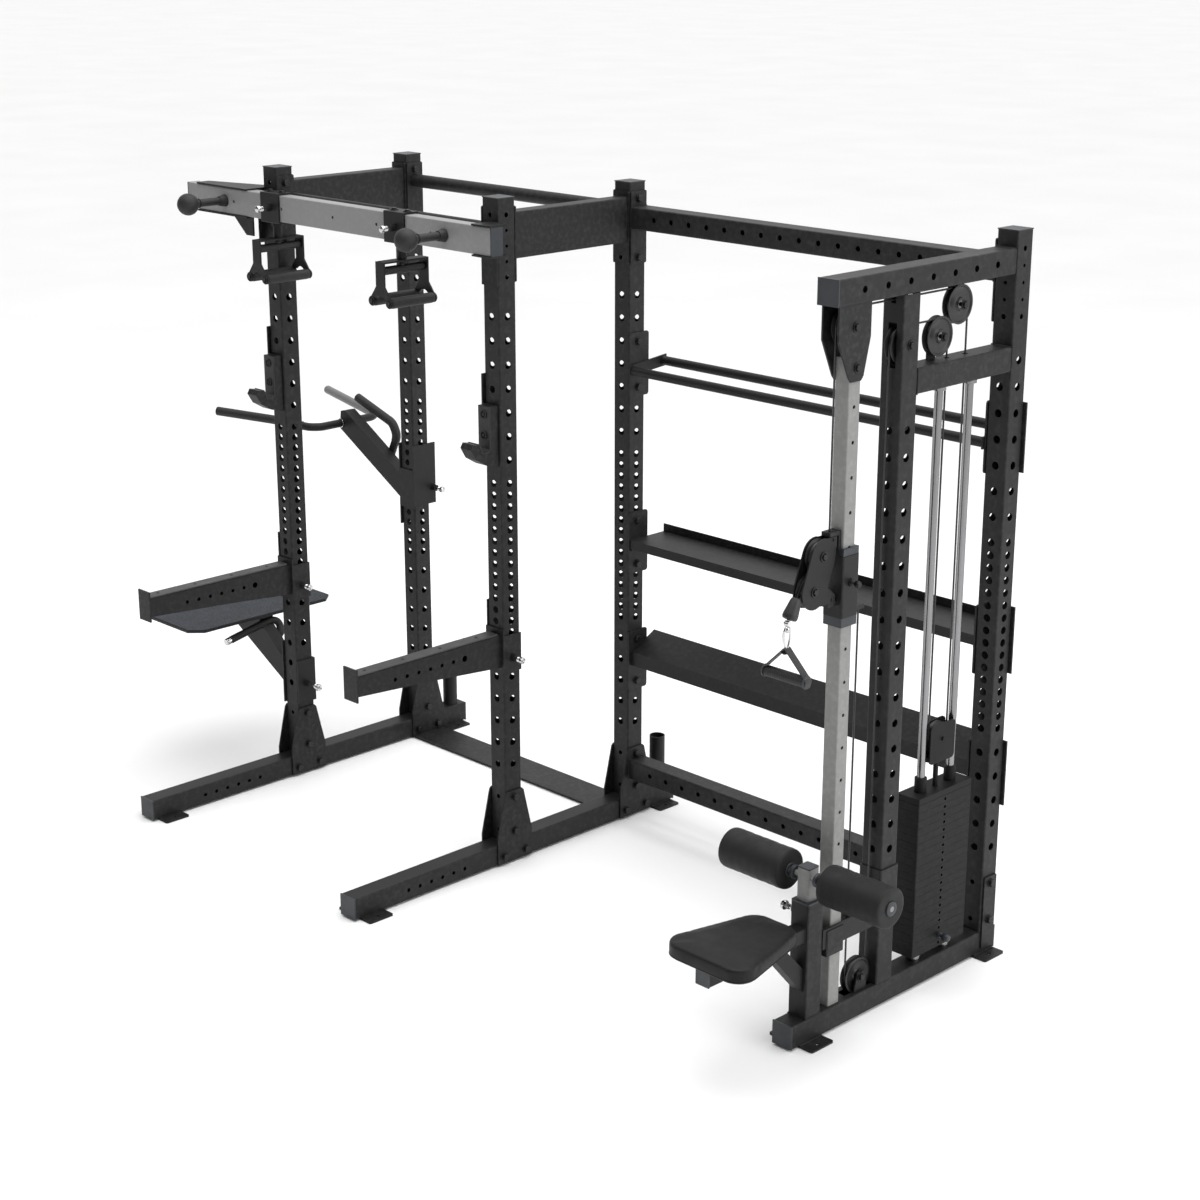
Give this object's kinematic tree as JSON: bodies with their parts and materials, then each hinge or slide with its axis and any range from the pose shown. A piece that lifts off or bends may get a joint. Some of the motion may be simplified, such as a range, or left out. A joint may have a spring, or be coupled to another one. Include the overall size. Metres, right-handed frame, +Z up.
{
  "type": "power cage",
  "caption": "Square-tube power cage with storage shelves, a front handle rail, dip and step attachments, and a weight-stack cable tower with a seat.",
  "frame": {"origin": "on the floor, under the centre of the bounding box", "axes": "+Z up, +X from the cage towards the cable tower, +Y from the front to the rear"},
  "size_m": [3.9746, 1.5936, 2.313],
  "materials": {
    "frame_black": "matte powder coat",
    "rail_grey": "satin",
    "post_silver": "satin metallic",
    "pin_steel": "polished",
    "pulley_plastic": "smooth",
    "cable_coat": "smooth coat",
    "seat_cover": "stitched cover",
    "cap_plastic": "moulded",
    "stack_iron": "painted",
    "bolt_steel": "black oxide"
  },
  "bodies": {
    "frame": {"cage_bases": "frame_black", "tower_base": "frame_black", "front_posts": "frame_black", "rear_posts": "frame_black", "tower_rear_post": "frame_black", "tower_front_post": "frame_black", "joint_plates": "frame_black", "side_beams": "frame_black", "pull_up_bars": "frame_black", "front_rail": "rail_grey", "rail_brackets": "frame_black", "ball_grips": "frame_black", "tower_beams": "frame_black", "pulley_brackets": "frame_black", "guide_post": "post_silver", "guide_rods": "pin_steel", "weight_stack": "stack_iron", "tower_cables": "cable_coat", "stack_cable": "cable_coat", "upper_carriage_cable": "cable_coat", "lower_carriage_cable": "cable_coat", "bar_shelf": "frame_black", "flat_shelf": "frame_black", "tray_shelf": "frame_black", "seat_frame": "frame_black", "seat_pad": "seat_cover", "end_caps": "cap_plastic", "frame_bolts": "bolt_steel"},
    "carrier": {"stack_carrier": "stack_iron"},
    "selector": {"selector_pin": "pin_steel"},
    "stack_sheave": {"stack_pulley": "pulley_plastic"},
    "top_sheave": {"top_pulley": "pulley_plastic"},
    "post_sheave": {"post_pulley": "pulley_plastic"},
    "crown_sheave": {"crown_pulley": "pulley_plastic"},
    "transfer_sheave": {"transfer_pulley": "pulley_plastic"},
    "floor_sheave": {"floor_pulley": "pulley_plastic"},
    "carriage": {"pulley_carriage": "frame_black"},
    "carriage_plunger": {"carriage_pin": "pin_steel"},
    "swivel": {"swivel_housing": "cap_plastic"},
    "swivel_upper_sheave": {"upper_swivel_pulley": "pulley_plastic"},
    "swivel_lower_sheave": {"lower_swivel_pulley": "pulley_plastic"},
    "handle": {"strap_handle": "pin_steel"},
    "rollers_post": {"roller_post": "post_silver"},
    "foam_left": {"left_foam_roller": "seat_cover"},
    "foam_right": {"right_foam_roller": "seat_cover"},
    "seat_plunger": {"seat_knob": "pin_steel"},
    "trolley_left": {"left_trolley": "frame_black"},
    "trolley_right": {"right_trolley": "frame_black"},
    "trolley_plunger_left": {"left_trolley_pin": "pin_steel"},
    "trolley_plunger_right": {"right_trolley_pin": "pin_steel"},
    "grip_left": {"left_pull_handle": "frame_black"},
    "grip_right": {"right_pull_handle": "frame_black"},
    "hook_left": {"left_j_hook": "frame_black"},
    "hook_right": {"right_j_hook": "frame_black"},
    "arm_left": {"left_safety_arm": "frame_black"},
    "arm_right": {"right_safety_arm": "frame_black"},
    "dip": {"dip_station": "frame_black"},
    "dip_plunger": {"dip_pin": "pin_steel"},
    "platform": {"step_platform": "frame_black"},
    "platform_plunger": {"platform_pin": "pin_steel"}
  },
  "joints": [
    {"name": "stack_lift", "type": "slide", "parent": "frame", "child": "carrier", "axis": [0, 0, 1], "range_m": [0, 0.95], "deforming": ["stack_cable"]},
    {"name": "selector_pull", "type": "slide", "parent": "carrier", "child": "selector", "axis": [1, 0, 0], "range_m": [0, 0.09]},
    {"name": "stack_sheave_spin", "type": "hinge", "parent": "carrier", "child": "stack_sheave", "pos_m": [1.67128, 0.25519, 0.798], "axis": [1, 0, 0], "continuous": true},
    {"name": "top_sheave_spin", "type": "hinge", "parent": "frame", "child": "top_sheave", "pos_m": [1.67128, -0.23981, 2.123], "axis": [1, 0, 0], "continuous": true},
    {"name": "post_sheave_spin", "type": "hinge", "parent": "frame", "child": "post_sheave", "pos_m": [1.67128, -0.00481, 2.042], "axis": [1, 0, 0], "continuous": true},
    {"name": "crown_sheave_spin", "type": "hinge", "parent": "frame", "child": "crown_sheave", "pos_m": [1.67128, 0.25119, 2.123], "axis": [1, 0, 0], "continuous": true},
    {"name": "transfer_sheave_spin", "type": "hinge", "parent": "frame", "child": "transfer_sheave", "pos_m": [1.67128, 0.16319, 2.042], "axis": [1, 0, 0], "continuous": true},
    {"name": "floor_sheave_spin", "type": "hinge", "parent": "frame", "child": "floor_sheave", "pos_m": [1.67128, -0.10081, 0.126], "axis": [1, 0, 0], "continuous": true},
    {"name": "carriage_height", "type": "slide", "parent": "frame", "child": "carriage", "axis": [0, 0, 1], "range_m": [-0.5, 0.4], "deforming": ["upper_carriage_cable", "lower_carriage_cable"]},
    {"name": "carriage_pin_pull", "type": "slide", "parent": "carriage", "child": "carriage_plunger", "axis": [1, 0, 0], "range_m": [0, 0.012], "stiffness_N_per_m": 400},
    {"name": "swivel_turn", "type": "hinge", "parent": "carriage", "child": "swivel", "pos_m": [1.67128, -0.28781, 1.44], "axis": [0, 0, 1], "range_deg": [-90, 90]},
    {"name": "upper_swivel_spin", "type": "hinge", "parent": "swivel", "child": "swivel_upper_sheave", "pos_m": [1.67128, -0.32981, 1.491], "axis": [1, 0, 0], "continuous": true},
    {"name": "lower_swivel_spin", "type": "hinge", "parent": "swivel", "child": "swivel_lower_sheave", "pos_m": [1.67128, -0.36481, 1.396], "axis": [1, 0, 0], "continuous": true},
    {"name": "handle_swing", "type": "hinge", "parent": "swivel", "child": "handle", "pos_m": [1.67128, -0.45618, 1.32174], "axis": [1, 0, 0], "range_deg": [-80, 25]},
    {"name": "roller_height", "type": "slide", "parent": "frame", "child": "rollers_post", "axis": [0, 0, 1], "range_m": [0, 0.09]},
    {"name": "left_roller_spin", "type": "hinge", "parent": "rollers_post", "child": "foam_left", "pos_m": [1.49128, -0.34181, 0.526], "axis": [1, 0, 0], "continuous": true},
    {"name": "right_roller_spin", "type": "hinge", "parent": "rollers_post", "child": "foam_right", "pos_m": [1.87128, -0.34181, 0.526], "axis": [1, 0, 0], "continuous": true},
    {"name": "seat_knob_pull", "type": "slide", "parent": "frame", "child": "seat_plunger", "axis": [-1, 0, 0], "range_m": [0, 0.01], "stiffness_N_per_m": 400},
    {"name": "left_trolley_slide", "type": "slide", "parent": "frame", "child": "trolley_left", "axis": [1, 0, 0], "range_m": [0, 0.35]},
    {"name": "right_trolley_slide", "type": "slide", "parent": "frame", "child": "trolley_right", "axis": [1, 0, 0], "range_m": [-0.1, 0.14]},
    {"name": "left_trolley_pin_pull", "type": "slide", "parent": "trolley_left", "child": "trolley_plunger_left", "axis": [0, -1, 0], "range_m": [0, 0.012], "stiffness_N_per_m": 400},
    {"name": "right_trolley_pin_pull", "type": "slide", "parent": "trolley_right", "child": "trolley_plunger_right", "axis": [0, -1, 0], "range_m": [0, 0.012], "stiffness_N_per_m": 400},
    {"name": "left_grip_turn", "type": "hinge", "parent": "trolley_left", "child": "grip_left", "pos_m": [-0.98972, -0.17181, 2.1], "axis": [0, 0, 1], "range_deg": [-45, 0]},
    {"name": "right_grip_turn", "type": "hinge", "parent": "trolley_right", "child": "grip_right", "pos_m": [-0.30272, -0.17181, 2.1], "axis": [0, 0, 1], "continuous": true},
    {"name": "left_hook_height", "type": "slide", "parent": "frame", "child": "hook_left", "axis": [0, 0, 1], "range_m": [-0.24, 0.12]},
    {"name": "right_hook_height", "type": "slide", "parent": "frame", "child": "hook_right", "axis": [0, 0, 1], "range_m": [-0.24, 0.12]},
    {"name": "left_arm_height", "type": "slide", "parent": "frame", "child": "arm_left", "axis": [0, 0, 1], "range_m": [-0.08, 0.2]},
    {"name": "right_arm_height", "type": "slide", "parent": "frame", "child": "arm_right", "axis": [0, 0, 1], "range_m": [-0.08, 0.2]},
    {"name": "dip_height", "type": "slide", "parent": "frame", "child": "dip", "axis": [0, 0, 1], "range_m": [-0.4, 0.24]},
    {"name": "dip_pin_pull", "type": "slide", "parent": "dip", "child": "dip_plunger", "axis": [1, 0, 0], "range_m": [0, 0.012], "stiffness_N_per_m": 400},
    {"name": "platform_height", "type": "slide", "parent": "frame", "child": "platform", "axis": [0, 0, 1], "range_m": [0, 0.08]},
    {"name": "platform_pin_pull", "type": "slide", "parent": "platform", "child": "platform_plunger", "axis": [1, 0, 0], "range_m": [0, 0.012], "stiffness_N_per_m": 400}
  ],
  "couplings": [
    {"joint": "top_sheave_spin", "follows": "stack_lift", "rad_per_m": 41.667},
    {"joint": "crown_sheave_spin", "follows": "stack_lift", "rad_per_m": 41.667},
    {"joint": "stack_sheave_spin", "follows": "stack_lift", "rad_per_m": 22.727},
    {"joint": "upper_swivel_spin", "follows": "stack_lift", "rad_per_m": -47.619},
    {"joint": "lower_swivel_spin", "follows": "stack_lift", "rad_per_m": 47.619},
    {"joint": "floor_sheave_spin", "follows": "carriage_height", "rad_per_m": -20.833},
    {"joint": "post_sheave_spin", "follows": "carriage_height", "rad_per_m": 20.833},
    {"joint": "transfer_sheave_spin", "follows": "carriage_height", "rad_per_m": 20.833}
  ]
}
